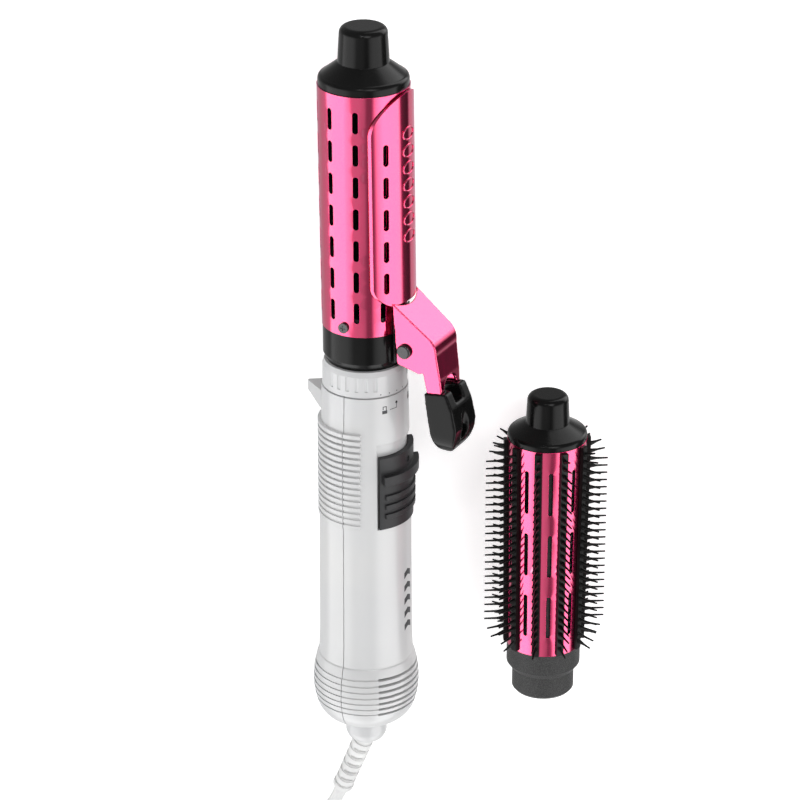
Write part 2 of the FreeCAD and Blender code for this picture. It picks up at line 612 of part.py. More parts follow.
def clip_spring():
    """A torsion spring about the pin, one leg on the bracket and one under the lever."""
    wire_r, coil_r, half_long = 0.45, 2.7, 3.6
    pin = FreeCAD.Vector(value("pin_x"), 0, value("pin_height"))
    helix = Part.makeHelix(1.2, 2 * half_long, coil_r)
    section = Part.Circle(FreeCAD.Vector(coil_r, 0, 0), FreeCAD.Vector(0, 1, 0.07), wire_r)
    coil = Part.Wire(helix).makePipeShell([Part.Wire(section.toShape())], True, True)
    coil.translate(FreeCAD.Vector(0, 0, -half_long))
    coil.rotate(FreeCAD.Vector(0, 0, 0), FreeCAD.Vector(1, 0, 0), 90)
    coil.rotate(FreeCAD.Vector(0, 0, 0), FreeCAD.Vector(0, 1, 0), 150)
    coil.translate(pin)
    along = FreeCAD.Vector(0, 0, 1)
    foot_leg = Part.makeCylinder(wire_r, 7.0, pin + FreeCAD.Vector(-coil_r, 3.3, -6.6), along)
    lever_leg = Part.makeCylinder(wire_r, 8.0, pin + FreeCAD.Vector(coil_r, -3.3, 0), along)
    coil = settled(coil).fuse(foot_leg).fuse(lever_leg)
    return publish(feature("spring", settled(coil)), "clip_spring", STYLER)


# ---------------------------------------------------------------- clip

def clip_plate():
    """The spring-loaded spoon that holds hair on the barrel: a thin curved plate."""
    shell = cut("clip_shell", cylinder("clip_outside", "clip_r", "110", ("0", "0", "40")),
                cylinder("clip_inside", "clip_r - clip_wall", "112", ("0", "0", "39")))
    shell.Placement = tilt_to_barrel()
    outline = prism("clip_outline", "YZ", "60", [
        ("clip_half", "clip_low + 9"), ("clip_half", "clip_arch", "clip_half", 1),
        ("-clip_half", "clip_arch"), ("-clip_half", "clip_low + 9", "9.5", 1),
        ("-lever_half + 0.2", "clip_low"), ("lever_half - 0.2", "clip_low", "9.5", 1)])
    front = box("clip_front", ("40", "60", "120"), ("2", "-30", "30"))
    blank = common("clip_blank", common("clip_front_shell", shell, front), outline)
    cutter = rounded_slot("0", "hole_first + hole_pitch", "hole_wide", "hole_long")
    rows = [[(x, f"{y} + {k} * hole_pitch", *rest) for x, y, *rest in cutter] for k in range(5)]
    cutters = []
    for side in (-36, 36):
        punch = prism(f"clip_punch_{'left' if side < 0 else 'right'}", "YZ", "30", *rows)
        place(punch, (f"30 * cos({side})", f"30 * sin({side})", "0"), angle=side)
        cutters.append(punch)
    return publish(cut("clip_piece", blank, *cutters), "clip_plate", STYLER)


def tilt_to_barrel():
    """The clip lies on the barrel at its arch and stands off it at the pivot."""
    tilt = FreeCAD.Rotation(FreeCAD.Vector(0, 1, 0), -value("clip_tilt"))
    contact = FreeCAD.Vector(0, 0, value("barrel_top"))
    return FreeCAD.Placement(contact - tilt.multVec(contact), tilt)


def lever_outline(inset):
    """The lever seen from the side: outer plate, then the inner edge of its walls."""
    return [
        (f"19.0 - {inset}", "clip_low + 1.4"),
        (f"35.2 - {inset}", f"32.4 - 0.3 * {inset}", "9", -1),
        (f"39.4 - {inset}", f"24.0 - 0.2 * {inset}"),
        (f"41.0 - {inset}", "13.0"),
        (f"42.4 - {inset}", "-3.0")]


def clip_lever():
    """A folded channel: an outer plate with a side wall on each edge."""
    outside = prism("lever_outside", "XZ", "30", lever_outline("0") + [
        ("35.9", "-3.0"), ("32.9", "14.2", "2.5", 1), ("30.9", "13.6"), ("26.0", "15.0"),
        ("21.4", "16.2", "2", -1), ("19.9", "18.9"), ("18.4", "42.4")])
    plan = prism("lever_plan", "YZ", "120", [
        ("lever_half", "clip_low + 3"), ("-lever_half", "clip_low + 3"),
        ("-lever_end_half", "-4"), ("lever_end_half", "-4")])
    hollow_side = prism("lever_hollow_side", "XZ", "30", lever_outline("lever_wall") + [
        ("10", "-6"), ("10", "clip_low + 3")])
    hollow_plan = prism("lever_hollow_plan", "YZ", "120", [
        ("lever_half - lever_wall", "clip_low + 4"), ("-lever_half + lever_wall", "clip_low + 4"),
        ("-lever_end_half + lever_wall", "-8"), ("lever_end_half - lever_wall", "-8")])
    blank = common("lever_blank", outside, plan)
    hollow = common("lever_hollow", hollow_side, hollow_plan)
    clearance = group("lever_trim_piece", cylinder("lever_trim", "clip_r", "110", ("0", "0", "-20")))
    clearance.Placement = tilt_to_barrel()
    end_notch = cylinder("lever_end_notch", "5.6", "20", ("30", "0", "6.4"), (0, 1, 0), 90)
    end_open = box("lever_end_open", ("20", "11.2", "14"), ("30", "-5.6", "-7.6"))
    bore = cylinder("lever_bore", "pin_r + 0.06", "40", ("pin_x", "20", "pin_height"), (1, 0, 0), 90)
    piece = cut("lever_piece", blank, hollow, clearance, end_notch, end_open, bore)
    return publish(piece, "clip_lever", STYLER)


def lever_tip(lever):
    """The cool thumb piece: two prongs that sleeve the lever's walls, joined by a round end."""
    side = prism("tip_side", "XZ", "40", [
        ("33.4", "5.6"), ("43.7", "7.0"), ("46.9", "0"), ("48.9", "-9.0", "26", -1),
        ("47.6", "-16.6", "8", -1), ("42.6", "-22.4", "6", -1), ("38.8", "-20.2"), ("36.6", "-13.6"),
        ("34.6", "-3.0")])
    plan = prism("tip_plan", "YZ", "120", [
        ("tip_half", "tip_round"), ("tip_half - 0.4", "8"), ("-tip_half + 0.4", "8"),
        ("-tip_half", "tip_round", "tip_half", 1)])
    notch = box("tip_notch", ("20", "7.2", "12"), ("32", "-3.6", "1.5"))
    channel = cylinder("tip_channel", "2.5", "30", ("48.4", "0", "-14.5"), (0, 1, 0), 8)
    hollow = cylinder("tip_hollow", "3.1", "9", ("43.8", "0", "-13.4"), (0, 1, 0), 78)
    sleeve_copy = feature("tip_sleeve", lever_shape(lever))
    piece = cut("tip_piece", common("tip_blank", side, plan), notch, channel, hollow, sleeve_copy)
    return publish(piece, "lever_tip", STYLER)


def lever_shape(lever):
    """The lever's solid in local coordinates, used to hollow the thumb piece."""
    doc.recompute()
    shape = lever.Shape.copy()
    shape.Placement = STYLER.inverse().multiply(shape.Placement)
    return shape


# ---------------------------------------------------------------- brush

def brush_tube():
    tube = turned("brush_barrel", [
        ("brush_low_r - tube_wall", "0"), ("brush_low_r", "0"),
        ("brush_top_r", "brush_long"), ("brush_top_r - tube_wall", "brush_long")])
    slots = [rounded_slot("0", f"19.6 + {k} * 30.2", "1.9", "20.6") for k in range(3)]
    pierce(tube, "brush_air_slots", "YZ", "60", slots, 5, 36)
    return publish(tube, "brush_tube", BRUSH)


def brush_collar():
    """The stepped collar of the brush, with the same spigot as the curling barrel's."""
    piece = turned("brush_step", [
        ("spigot_bore", "brush_spigot_low"), ("spigot_r - 1.0", "brush_spigot_low"),
        ("spigot_r", "brush_spigot_low + 1.2"), ("spigot_r", "brush_collar_low"),
        ("brush_collar_r - 2.0", "brush_collar_low"), ("brush_collar_r", "brush_collar_low + 2.8"),
        ("brush_collar_r", "0"), ("brush_low_r - tube_wall - 0.02", "0"),
        ("brush_low_r - tube_wall - 0.02", "7"), ("spigot_bore + 1.6", "7"), ("spigot_bore", "1")])
    return publish(piece, "brush_collar", BRUSH)


def end_splay(k, count):
    """The last two bristles at each end fan outwards and are shorter: turn and loss of length."""
    from_end = min(k, count - 1 - k)
    if from_end > 1:
        return 0.0, 0.0
    turn = math.radians((20, 11)[from_end])
    return (-turn if k == from_end else turn), (2.6, 1.2)[from_end]


def bristle_strip(index):
    """A moulded strip on the tube that carries one row of bristles."""
    angle = 18 + 36 * index
    lean = math.atan2(value("brush_top_r - brush_low_r"), value("brush_long"))
    bar = Part.makeBox(1.5, 3.2, value("brush_long") - 1.2, FreeCAD.Vector(0.02, -1.6, 0.6))
    bar.rotate(FreeCAD.Vector(0, 0, 0), FreeCAD.Vector(0, 1, 0), math.degrees(lean))
    bar.translate(FreeCAD.Vector(value("brush_low_r"), 0, 0))
    bristles = []
    count, base_long = int(value("bristle_count")), 3.4
    for k in range(count):
        height = value("bristle_first") + k * value("bristle_pitch")
        root = FreeCAD.Vector(value("brush_low_r") + height * math.tan(lean) + 1.0, 0, height)
        splay, shorter = end_splay(k, count)
        way = FreeCAD.Vector(math.cos(splay), 0, math.sin(splay))
        base = Part.makeCone(1.15, 0.5, base_long, root, way)
        long = value("bristle_reach") - root.x - base_long - shorter
        rod = Part.makeCone(0.5, 0.36, long, root + way * base_long, way)
        bristles += [base, rod]
    strip = feature(f"strip_{index}", bar.multiFuse(bristles).removeSplitter())
    turn = FreeCAD.Placement(FreeCAD.Vector(), FreeCAD.Rotation(FreeCAD.Vector(0, 0, 1), angle))
    return publish(strip, f"bristle_strip_{index + 1}", BRUSH.multiply(turn))


# ---------------------------------------------------------------- cord

def swivel_cup():
    """The cup that turns in the bulb's end and carries the cord."""
    piece = turned("cup", [
        ("0", "bulb_low + shell_wall + 0.3"), ("10.4", "bulb_low + shell_wall + 0.3"),
        ("10.4", "bulb_low + shell_wall + 3.3"), ("0", "bulb_low + shell_wall + 3.3")])
    barrel = turned("cup_barrel", [
        ("0", "bulb_low + shell_wall + 0.5"), ("0", "cup_low"), ("4.0", "cup_low", "6.5", 1),
        ("cup_r", "cup_low + 5.4"), ("cup_r", "bulb_low + shell_wall + 0.5")])
    return publish(fuse("cup_piece", piece, barrel), "swivel_cup", STYLER)


RELIEF_WAY = FreeCAD.Vector(-0.2853, -0.9074, -0.3213).normalize()


def relief_start():
    """Where the strain relief leaves the axis, inside the cup."""
    return FreeCAD.Vector(STYLER_X, STYLER_Y + value("cup_low + relief_inside"), value("bulb_r"))


def strain_relief():
    """A ribbed rubber sleeve with a lip at its end, slotted so that it bends."""
    start, long = relief_start(), value("relief_long")
    core = Part.makeCone(4.2, 3.9, long, start, RELIEF_WAY)
    lip = Part.makeCylinder(4.8, 2.4, start + RELIEF_WAY * (long - 2.4), RELIEF_WAY)
    ribs, slits = [], []
    for k in range(6):
        rib_at = start + RELIEF_WAY * (6.9 + k * value("rib_step") - 1.45)
        ribs.append(Part.makeCylinder(4.7 - 0.04 * k, 2.9, rib_at, RELIEF_WAY))
        slits.append(slit(start + RELIEF_WAY * (9.6 + k * value("rib_step"))))
    relief = core.multiFuse([lip] + ribs).cut(slits[0]).cut(Part.makeCompound(slits[1:-1]))
    return publish_plain(relief.cut(piece_named("swivel_cup")), "strain_relief")


def slit(at):
    """One bending slot in the top of the strain relief."""
    side = RELIEF_WAY.cross(FreeCAD.Vector(0, 0, 1)).normalize()
    lift = side.cross(RELIEF_WAY).normalize()
    block = Part.makeBox(5.2, 1.5, 3.0, FreeCAD.Vector(-2.6, -0.75, 0))
    block.Placement = FreeCAD.Placement(at + lift * 2.7, FreeCAD.Rotation(side, RELIEF_WAY, lift, "ZXY"))
    return settled(block)


def piece_named(node):
    """The finished solid of a node, in the set's own frame."""
    doc.recompute()
    return [item for item in nodes if item.Label == node][0].Shape.copy()


def publish_plain(shape, node):
    """A piece drawn straight in the set's own frame."""
    item = feature(node + "_piece", shape)
    item.Label = node
    nodes.append(item)
    return item


# The cord leaves the relief, comes down to the table and runs to its put-away coil.
# Steps are (x, y, z) from the end of the strain relief.
LEAD_STEPS = [(0.0, 0.0, 0.0), (-2.57, -8.17, -2.89), (-7.2, -17.6, -6.1), (-11.7, -28.6, -7.8),
              (-14.8, -41.2, -8.0), (-16.4, -54.1, -8.0), (-16.8, -65.1, -8.0)]


def lead_points():
    end = relief_start() + RELIEF_WAY * value("relief_long")
    return [end + FreeCAD.Vector(*step) for step in LEAD_STEPS]


def rounded_path(points):
    """Straight runs joined by tangent arcs, and the radius of each arc."""
    edges, radii, last = [], [], points[0]
    for before, corner, after in zip(points, points[1:], points[2:]):
        into, out = corner - before, after - corner
        turn = into.getAngle(out)
        reach = 0.45 * min(into.Length, out.Length)
        start = corner - FreeCAD.Vector(into).normalize() * reach
        end = corner + FreeCAD.Vector(out).normalize() * reach
        radius = reach / math.tan(turn / 2)
        bisector = (FreeCAD.Vector(out).normalize() - FreeCAD.Vector(into).normalize()).normalize()
        centre = corner + bisector * (radius / math.cos(turn / 2))
        edges.append(Part.LineSegment(last, start).toShape())
        edges.append(Part.Arc(start, centre - bisector * radius, end).toShape())
        radii.append(radius)
        last = end
    edges.append(Part.LineSegment(last, points[-1]).toShape())
    return Part.Wire(edges), radii


def cord_lead():
    points = lead_points()
    path, radii = rounded_path(points)
    radius = value("cord_width") / 2
    print("cord radii, mm:", [round(r, 1) for r in radii], "lowest point:", round(points[-1].z - radius, 2))
    ring = Part.Wire(Part.Circle(points[0], points[1] - points[0], radius).toShape())
    tube = path.makePipeShell([ring], True, False)
    expected = math.pi * radius ** 2 * path.Length
    print("cord tube volume ratio:", round(tube.Volume / expected, 4), "length:", round(path.Length, 1))
    return publish_plain(tube, "cord_lead")


def coil_centre():
    """The lead joins the outer turn on its left, heading towards -Y."""
    last = lead_points()[-1]
    return FreeCAD.Vector(last.x + value("coil_r + coil_half - cord_width / 2"), last.y, 0)


def cord_coil():
    """The outer shape of the put-away turns."""
    centre, high = coil_centre(), value("coil_high")
    outside = Part.makeCylinder(value("coil_r + coil_half"), high, centre)
    inside = Part.makeCylinder(value("coil_r - coil_half"), high, centre)
    coil = outside.cut(inside).cut(piece_named("cord_lead")).cut(tie_band())
    return publish_plain(coil, "cord_coil")


def tie_band():
    """A flat band round the turns, on their right-hand side."""
    thick, wide, high = value("tie_thick"), value("tie_wide"), value("coil_high")
    across = value("2 * coil_half")
    corner = coil_centre() + FreeCAD.Vector(value("coil_r - coil_half - tie_thick"), -wide / 2, 0)
    band = Part.makeBox(across + 2 * thick, wide, high + thick, corner)
    gap = Part.makeBox(across, wide, high - thick, corner + FreeCAD.Vector(thick, 0, thick))
    return band.cut(gap)


def cord_tie():
    return publish_plain(tie_band(), "cord_tie")


def plug_centre():
    """The plug lies on the turns at their -Y side, its blades towards +X."""
    return coil_centre() + FreeCAD.Vector(6, -value("coil_r"), value("coil_high"))


def plug_body():
    """A moulded two-blade plug with a finger waist."""
    long, wide, high = value("plug_long"), value("plug_wide"), value("plug_high")
    body = Part.makeBox(long, wide, high, plug_centre() - FreeCAD.Vector(long / 2, wide / 2, 0))
    lengthwise = [edge for edge in body.Edges if abs(edge.tangentAt(edge.FirstParameter).x) > 0.9]
    body = body.makeFillet(3.0, lengthwise)
    waist_r = 9.0
    waist_off = wide / 2 + 6.4
    waist = [Part.makeCylinder(waist_r, high + 2, plug_centre() + FreeCAD.Vector(1, side * waist_off, -1))
             for side in (-1, 1)]
    return publish_plain(body.cut(Part.makeCompound(waist)), "plug_body")


def plug_blades():
    long, thick, wide = value("blade_long"), value("blade_thick"), value("blade_wide")
    blades = []
    for side in (-1, 1):
        corner = plug_centre() + FreeCAD.Vector(value("plug_long") / 2,
                                                side * value("blade_spread") / 2 - thick / 2,
                                                (value("plug_high") - wide) / 2)
        hole_at = corner + FreeCAD.Vector(long - 5.5, -1, wide / 2)
        hole = Part.makeCylinder(1.6, thick + 2, hole_at, FreeCAD.Vector(0, 1, 0))
        blades.append(Part.makeBox(long, thick, wide, corner).cut(hole))
    return publish_plain(Part.makeCompound(blades), "plug_blades")


# ---------------------------------------------------------------- build

def build():
    front_shell()
    rear_shell()
    shell_screws()
    nozzle_socket()
    heater()
    motor()
    fan()
    intake_filter()
    switch_parts()
    swivel_bush()
    switch_slider()
    lock_ring()
    barrel_tube()
    end_cap("barrel_end", "barrel_cap", STYLER, {
        "skirt": "barrel_top_r - tube_wall - 0.15", "low": "barrel_top", "rim": "cap_rim_r",
        "rim_top": "cap_rim_top", "cone_top": "cap_cone_top", "knob_low": "knob_low_r",
        "knob_top_r": "knob_top_r", "top": "knob_top"})
    barrel_collar()
    barrel_screws()
    spine("barrel_cross", "barrel_spine", STYLER, "barrel_low + 8", "barrel_top - 6", "16.6")
    clip_bracket()
    pivot_pin()
    clip_spring()
    clip_plate()
    lever_tip(clip_lever())
    brush_tube()
    end_cap("brush_end", "brush_cap", BRUSH, {
        "skirt": "brush_top_r - tube_wall - 0.15", "low": "brush_long", "rim": "brush_rim_r",
        "rim_top": "brush_rim_top", "cone_top": "brush_cone_top", "knob_low": "brush_knob_low_r",
        "knob_top_r": "brush_knob_top_r", "top": "brush_knob_top"})
    brush_collar()
    spine("brush_cross", "brush_spine", BRUSH, "7", "brush_long - 6", "15.4")
    for index in range(10):
        bristle_strip(index)
    swivel_cup()
    strain_relief()
    cord_lead()
    cord_coil()
    cord_tie()
    plug_body()
    plug_blades()


def check_and_write():
    doc.recompute()
    failed = [item.Name for item in doc.Objects if {"Invalid", "Error"} & set(item.State)]
    if failed:
        raise RuntimeError(f"objects that failed to build: {failed}")
    for item in nodes:
        if item.Shape.isNull() or not item.Shape.isValid() or not item.Shape.Solids:
            raise RuntimeError(f"{item.Label} has no valid solid")
    os.makedirs("parts", exist_ok=True)
    for item in nodes:
        item.Shape.exportStep(f"parts/{item.Label}.step")
    print("nodes:", len(nodes), "styler axis:", STYLER.Base, "brush axis:", BRUSH.Base)


build()
check_and_write()
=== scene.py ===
"""Looks of the hot-air styler set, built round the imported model.

Everything is in metres, in the model's own frame. The styler and the brush lie along +Y. A place on
the styler is given by its angle about the axis, from straight up towards +X, and by its height along
the axis, from the front end of the handle towards the tip.
"""
import bpy
import bmesh
import json
import math
from mathutils import Matrix, Vector

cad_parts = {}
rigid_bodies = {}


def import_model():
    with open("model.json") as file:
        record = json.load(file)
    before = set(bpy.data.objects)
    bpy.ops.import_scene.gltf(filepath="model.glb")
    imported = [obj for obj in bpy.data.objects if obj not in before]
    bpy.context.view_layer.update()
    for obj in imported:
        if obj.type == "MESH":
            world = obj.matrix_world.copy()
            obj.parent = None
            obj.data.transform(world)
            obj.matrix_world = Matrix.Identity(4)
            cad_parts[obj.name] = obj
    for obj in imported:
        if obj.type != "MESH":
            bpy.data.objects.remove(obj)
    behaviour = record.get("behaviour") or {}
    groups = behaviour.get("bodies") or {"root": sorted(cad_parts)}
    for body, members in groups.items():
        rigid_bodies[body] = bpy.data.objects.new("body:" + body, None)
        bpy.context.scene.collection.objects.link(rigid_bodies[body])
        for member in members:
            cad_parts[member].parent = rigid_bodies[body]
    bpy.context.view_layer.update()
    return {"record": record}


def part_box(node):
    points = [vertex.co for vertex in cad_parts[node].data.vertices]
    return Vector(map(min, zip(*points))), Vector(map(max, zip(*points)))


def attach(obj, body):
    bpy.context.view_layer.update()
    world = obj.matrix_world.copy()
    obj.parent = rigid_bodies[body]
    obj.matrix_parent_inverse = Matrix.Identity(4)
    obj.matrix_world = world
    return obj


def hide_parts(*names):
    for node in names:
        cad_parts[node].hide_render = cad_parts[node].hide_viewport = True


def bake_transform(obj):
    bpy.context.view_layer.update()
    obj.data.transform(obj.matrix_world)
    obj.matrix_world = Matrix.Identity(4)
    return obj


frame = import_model()
MM = 0.001

# ------------------------------------------------------------ places

BARREL_FOOT = 28.7 * MM          # height of the tube's lower edge
BRUSH_TIP = 120.4 * MM           # height of the brush's knob above its own zero


def middle(node):
    low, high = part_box(node)
    return (Vector(low) + Vector(high)) / 2


def axis_zero(tube, along):
    """The zero point of a part's axis: in the tube's middle across, and at the given place along."""
    return Vector((middle(tube).x, along, middle(tube).z))


STYLER = axis_zero("barrel_tube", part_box("barrel_tube")[0][1] - BARREL_FOOT)
BRUSH = axis_zero("brush_tube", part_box("brush_cap")[1][1] - BRUSH_TIP)


def on_styler(angle, height, radius):
    """A point by its angle in degrees, and its height and radius in millimetres."""
    turn = math.radians(angle)
    return STYLER + Vector((radius * math.sin(turn), height, radius * math.cos(turn))) * MM


# ------------------------------------------------------------ material helpers

class Recipe:
    """A principled material and short ways to add nodes to it."""

    def __init__(self, name, colour, roughness, metallic=0.0, coat=0.0, coat_roughness=0.1, shine=0.5):
        self.material = bpy.data.materials.new(name)
        self.material.use_nodes = True
        self.tree = self.material.node_tree
        self.shader = self.tree.nodes["Principled BSDF"]
        self.shader.inputs["Base Color"].default_value = (*colour, 1.0)
        self.shader.inputs["Roughness"].default_value = roughness
        self.shader.inputs["Metallic"].default_value = metallic
        self.shader.inputs["Specular IOR Level"].default_value = shine
        self.shader.inputs["Coat Weight"].default_value = coat
        self.shader.inputs["Coat Roughness"].default_value = coat_roughness
        self.place = self.tree.nodes.new("ShaderNodeTexCoord").outputs["Object"]

    def node(self, kind, **settings):
        made = self.tree.nodes.new(kind)
        for name, setting in settings.items():
            setattr(made, name, setting)
        return made

    def join(self, source, target):
        self.tree.links.new(source, target)

    def stretched(self, scale):
        mapping = self.node("ShaderNodeMapping")
        mapping.inputs["Scale"].default_value = scale
        self.join(self.place, mapping.inputs["Vector"])
        return mapping.outputs["Vector"]

    def noise(self, scale, detail=3.0, stretch=None, roughness=0.5):
        made = self.node("ShaderNodeTexNoise")
        made.inputs["Scale"].default_value = scale
        made.inputs["Detail"].default_value = detail
        made.inputs["Roughness"].default_value = roughness
        self.join(self.stretched(stretch) if stretch else self.place, made.inputs["Vector"])
        return made.outputs["Fac"]

    def spread(self, source, low, high, start=0.0, end=1.0):
        """Map a value from one stretch to another."""
        made = self.node("ShaderNodeMapRange")
        for name, number in (("From Min", start), ("From Max", end), ("To Min", low), ("To Max", high)):
            made.inputs[name].default_value = number
        self.join(source, made.inputs["Value"])
        return made.outputs["Result"]

    def maths(self, operation, first, second):
        made = self.node("ShaderNodeMath", operation=operation)
        for socket, entry in zip(made.inputs, (first, second)):
            if isinstance(entry, (int, float)):
                socket.default_value = entry
            else:
                self.join(entry, socket)
        return made.outputs["Value"]

    def ramp(self, source, *stops):
        made = self.node("ShaderNodeValToRGB")
        scale = made.color_ramp.elements
        while len(scale) < len(stops):
            scale.new(0.5)
        for element, (position, colour) in zip(scale, stops):
            element.position = position
            element.color = (*colour, 1.0)
        self.join(source, made.inputs["Fac"])
        return made.outputs["Color"]

    def mix(self, factor, first, second):
        made = self.node("ShaderNodeMix", data_type="RGBA")
        self.join(factor, made.inputs["Factor"])
        for socket, entry in ((made.inputs[6], first), (made.inputs[7], second)):
            if isinstance(entry, tuple):
                socket.default_value = (*entry, 1.0)
            else:
                self.join(entry, socket)
        return made.outputs[2]

    def colour(self, source):
        self.join(source, self.shader.inputs["Base Color"])

    def roughness(self, source):
        self.join(source, self.shader.inputs["Roughness"])

    def relief(self, source, depth, strength=1.0, edge=None):
        """Raise the surface by a value; edge rounds the corners that the light sees."""
        bump = self.node("ShaderNodeBump")
        bump.inputs["Strength"].default_value = strength
        bump.inputs["Distance"].default_value = depth
        self.join(source, bump.inputs["Height"])
        if edge:
            bevel = self.node("ShaderNodeBevel", samples=4)
            bevel.inputs["Radius"].default_value = edge
            self.join(bevel.outputs["Normal"], bump.inputs["Normal"])
        self.join(bump.outputs["Normal"], self.shader.inputs["Normal"])

    def distance_from(self, axis):
        """Distance of the surface from an axis along +Y."""
        parts = self.node("ShaderNodeSeparateXYZ")
        self.join(self.place, parts.inputs["Vector"])
        across = self.maths("SUBTRACT", parts.outputs["X"], axis.x)
        up = self.maths("SUBTRACT", parts.outputs["Z"], axis.z)
        squares = self.maths("ADD", self.maths("MULTIPLY", across, across), self.maths("MULTIPLY", up, up))
        return self.maths("SQRT", squares, 0.0), parts.outputs["Y"]


# ------------------------------------------------------------ materials

PINK = (0.6, 0.010, 0.105)
PINK_LIGHT = (0.64, 0.016, 0.125)
PINK_EDGE = (0.85, 0.25, 0.5)


def white_plastic():
    """Glossy white moulding with faint mould texture and slight yellowing in patches."""
    made = Recipe("white_plastic", (0.66, 0.66, 0.66), 0.3, coat=0.3, coat_roughness=0.12)
    made.colour(made.ramp(made.noise(22, 4), (0.3, (0.62, 0.625, 0.635)), (0.75, (0.67, 0.67, 0.665))))
    made.roughness(made.spread(made.noise(160, 5), 0.25, 0.4))
    made.relief(made.noise(1900, 2), 0.00003, 0.25, edge=0.0003)
    return made.material


def black_gloss():
    made = Recipe("black_gloss", (0.004, 0.004, 0.004), 0.14, shine=0.12)
    made.colour(made.ramp(made.noise(35, 4), (0.3, (0.003, 0.003, 0.003)), (0.8, (0.007, 0.007, 0.007))))
    made.roughness(made.spread(made.noise(240, 5), 0.1, 0.24))
    made.relief(made.noise(700, 3), 0.00003, 0.18, edge=0.0004)
    return made.material


def black_grained():
    """Spark-textured black moulding: hard coarse grain that glints."""
    made = Recipe("black_grained", (0.02, 0.02, 0.02), 0.42, shine=0.3)
    grain = made.noise(2100, 3, roughness=0.7)
    made.colour(made.ramp(grain, (0.45, (0.009, 0.009, 0.009)), (0.62, (0.045, 0.045, 0.045))))
    made.roughness(made.spread(grain, 0.28, 0.6))
    made.relief(grain, 0.00035, 0.9, edge=0.0003)
    return made.material


def switch_black():
    made = Recipe("switch_black", (0.03, 0.03, 0.03), 0.42, shine=0.25)
    grain = made.noise(3200, 2)
    made.colour(made.ramp(made.noise(60, 4), (0.3, (0.016, 0.016, 0.017)), (0.8, (0.03, 0.03, 0.032))))
    made.roughness(made.spread(grain, 0.36, 0.55))
    made.relief(grain, 0.00005, 0.4, edge=0.0004)
    return made.material


def pink_anodised(name, axis=None, skin=0.0, slope=0.0, foot=0.0):
    """Polished pink anodised metal. Given an axis, the tube's hollow is painted dark as shade, and the
    slot walls get a painted highlight just under the surface.
    """
    made = Recipe(name, PINK, 0.16, metallic=1.0, coat=0.9, coat_roughness=0.06)
    made.shader.inputs["Coat IOR"].default_value = 1.75
    made.shader.inputs["Specular Tint"].default_value = (*PINK_EDGE, 1.0)
    wear = made.noise(9, 5, stretch=(1.0, 0.35, 1.0))
    pink = made.ramp(wear, (0.3, PINK), (0.75, PINK_LIGHT))
    if axis:
        away, along = made.distance_from(axis)
        wall = made.maths("ADD", made.maths("MULTIPLY", made.maths("SUBTRACT", along, foot), slope), skin)
        depth = made.maths("SUBTRACT", wall, away)
        # painted shade: the tube's hollow and the deeper slot walls are darkened to near black
        painted_inner_shade = made.spread(depth, 0.0, 1.0, 0.0006, 0.0007)
        # painted highlight: a light pink band on the slot walls just under the outer surface
        painted_rim_highlight = made.spread(depth, 0.0, 1.0, 0.0001, 0.0002)
        # mix in the painted highlight on the slot walls, then the painted shade of the hollow
        pink = made.mix(painted_rim_highlight, pink, (0.9, 0.45, 0.62))
        pink = made.mix(painted_inner_shade, pink, (0.006, 0.003, 0.004))
    made.colour(pink)
    streaks = made.noise(420, 3, stretch=(1.0, 0.06, 1.0))
    made.roughness(made.spread(streaks, 0.1, 0.2))
    made.relief(streaks, 0.00001, 0.12, edge=0.00035)
    return made.material


def bristle_nylon():
    made = Recipe("bristle_nylon", (0.005, 0.005, 0.005), 0.3, shine=0.15)
    made.roughness(made.spread(made.noise(900, 2), 0.22, 0.42))
    made.colour(made.ramp(made.noise(140, 3), (0.3, (0.003, 0.003, 0.003)), (0.8, (0.008, 0.008, 0.008))))
    made.relief(made.noise(1500, 2), 0.00002, 0.2)
    return made.material


def bright_steel():
    made = Recipe("bright_steel", (0.6, 0.6, 0.61), 0.3, metallic=1.0)
    brushed = made.noise(700, 3, stretch=(1.0, 0.05, 1.0))
    made.colour(made.ramp(brushed, (0.3, (0.5, 0.5, 0.51)), (0.7, (0.68, 0.68, 0.69))))
    made.roughness(made.spread(brushed, 0.2, 0.4))
    made.relief(brushed, 0.00002, 0.2, edge=0.0002)
    return made.material


def black_steel():
    made = Recipe("black_steel", (0.02, 0.02, 0.022), 0.26, metallic=0.6, coat=0.4)
    made.roughness(made.spread(made.noise(500, 4), 0.18, 0.36))
    made.colour(made.ramp(made.noise(120, 4), (0.3, (0.012, 0.012, 0.013)), (0.8, (0.032, 0.032, 0.034))))
    made.relief(made.noise(900, 2), 0.00002, 0.25, edge=0.0003)
    return made.material


def tinted(name, dark, light, roughness, metallic=0.0, grain=600, depth=0.00003):
    """A plain moulded or cut material with grain of its own."""
    made = Recipe(name, light, roughness, metallic=metallic)
    made.colour(made.ramp(made.noise(grain / 8, 4), (0.3, dark), (0.75, light)))
    made.roughness(made.spread(made.noise(grain, 3), 0.75 * roughness, 1.25 * roughness))
    made.relief(made.noise(grain, 3), depth, 0.3, edge=0.0002)
    return made.material


def cord_cover():
    """White flexible cover: satin, with faint handling marks."""
    made = Recipe("cord_cover", (0.78, 0.78, 0.78), 0.42)
    made.colour(made.ramp(made.noise(60, 5), (0.25, (0.70, 0.70, 0.70)), (0.7, (0.80, 0.80, 0.795))))
    made.roughness(made.spread(made.noise(420, 4), 0.34, 0.52))
    made.relief(made.noise(1400, 2), 0.00004, 0.3, edge=0.0003)
    return made.material


def woven_screen():
    made = Recipe("woven_screen", (0.3, 0.3, 0.3), 0.4, metallic=0.8)
    weave = made.node("ShaderNodeTexChecker")
    weave.inputs["Scale"].default_value = 1400
    made.join(made.place, weave.inputs["Vector"])
    made.colour(made.ramp(weave.outputs["Fac"], (0.0, (0.02, 0.02, 0.02)), (1.0, (0.35, 0.35, 0.35))))
    made.relief(weave.outputs["Fac"], 0.0001, 0.6)
    return made.material


